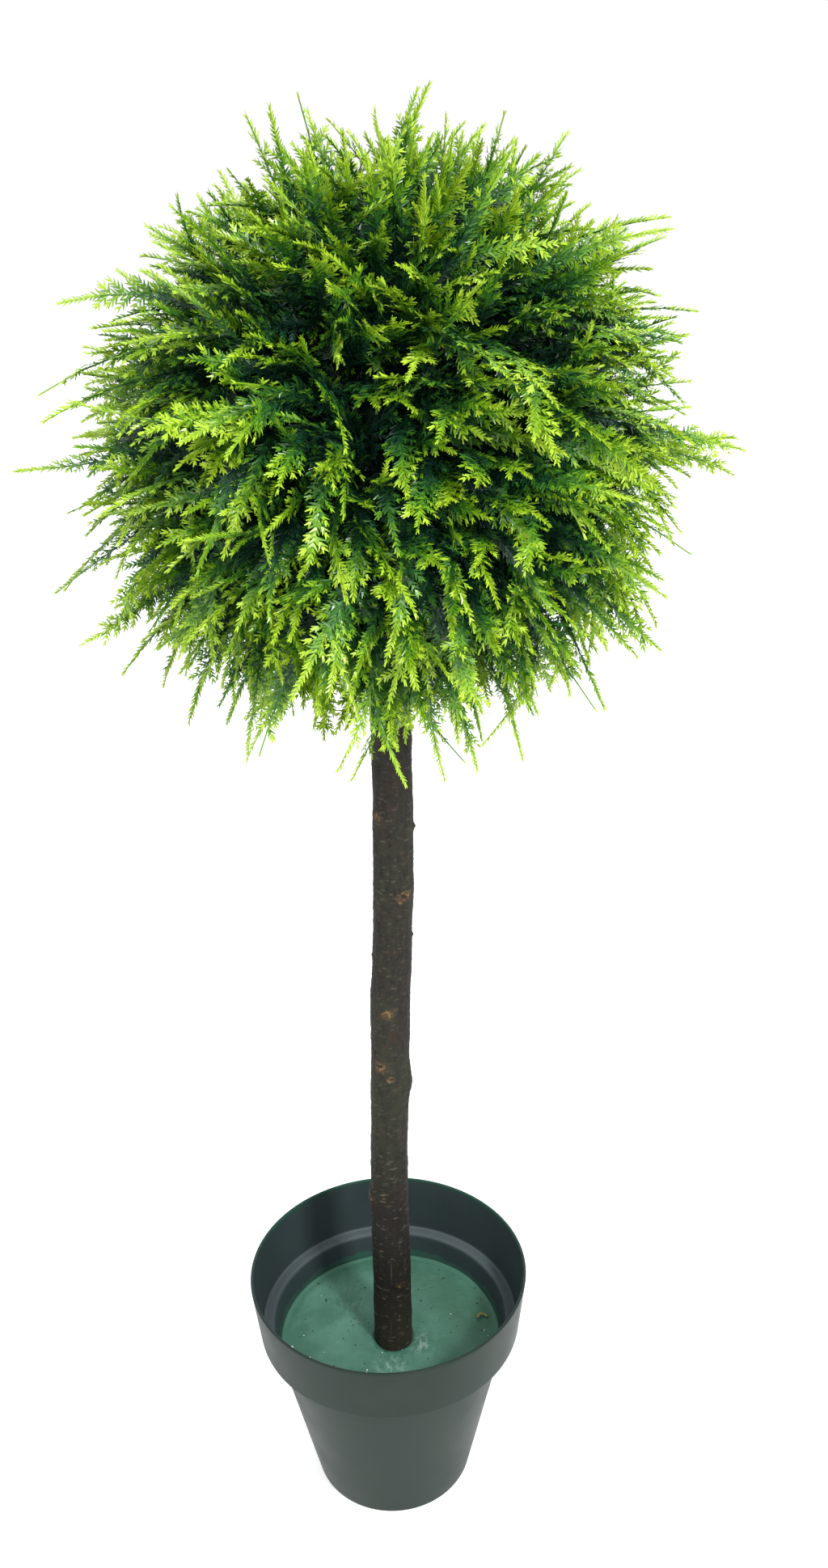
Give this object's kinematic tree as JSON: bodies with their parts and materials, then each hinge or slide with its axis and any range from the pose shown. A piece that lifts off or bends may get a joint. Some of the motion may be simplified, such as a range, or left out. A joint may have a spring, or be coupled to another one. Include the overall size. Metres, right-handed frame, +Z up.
{
  "type": "artificial ball topiary in a nursery pot",
  "caption": "Artificial ball topiary: a shaggy round head of cedar-like plastic sprigs on a straight wood stem, set in painted cement in a round plastic pot.",
  "frame": {"origin": "centre of the pot's flat underside, on the surface that the pot stands on", "axes": "+Z up along the height; the stem leans about 1.3 degrees towards +X; the object's front is -Y"},
  "size_m": [0.3757, 0.3681, 0.8974],
  "materials": {
    "pot_plastic": "moulded, dark grey-green, slightly silky",
    "painted_cement": "cement brushed with matt green paint, with pits and scuffs",
    "bark": "natural stem with thin dark bark, knots and pale pores",
    "core_foam": "matt dark green ball that holds the sprigs",
    "light_sprigs": "moulded plastic sprigs, yellow-green tips",
    "green_sprigs": "moulded plastic sprigs, mid green with yellow-green tips",
    "dark_sprigs": "moulded plastic sprigs, dark green with some light tips"
  },
  "bodies": {
    "root": {"pot": "pot_plastic", "cement": "painted_cement", "stem": "bark", "core": "core_foam", "foliage_top": "light_sprigs", "foliage_upper_1": "light_sprigs", "foliage_upper_2": "light_sprigs", "foliage_upper_3": "light_sprigs", "foliage_upper_4": "light_sprigs", "foliage_upper_5": "light_sprigs", "foliage_middle_1": "green_sprigs", "foliage_middle_2": "green_sprigs", "foliage_middle_3": "green_sprigs", "foliage_middle_4": "green_sprigs", "foliage_middle_5": "green_sprigs", "foliage_middle_6": "green_sprigs", "foliage_middle_7": "green_sprigs", "foliage_lower_1": "green_sprigs", "foliage_lower_2": "green_sprigs", "foliage_lower_3": "green_sprigs", "foliage_lower_4": "green_sprigs", "foliage_lower_5": "green_sprigs", "foliage_lower_6": "green_sprigs", "foliage_under_1": "dark_sprigs", "foliage_under_2": "dark_sprigs", "foliage_under_3": "dark_sprigs"}
  },
  "joints": []
}
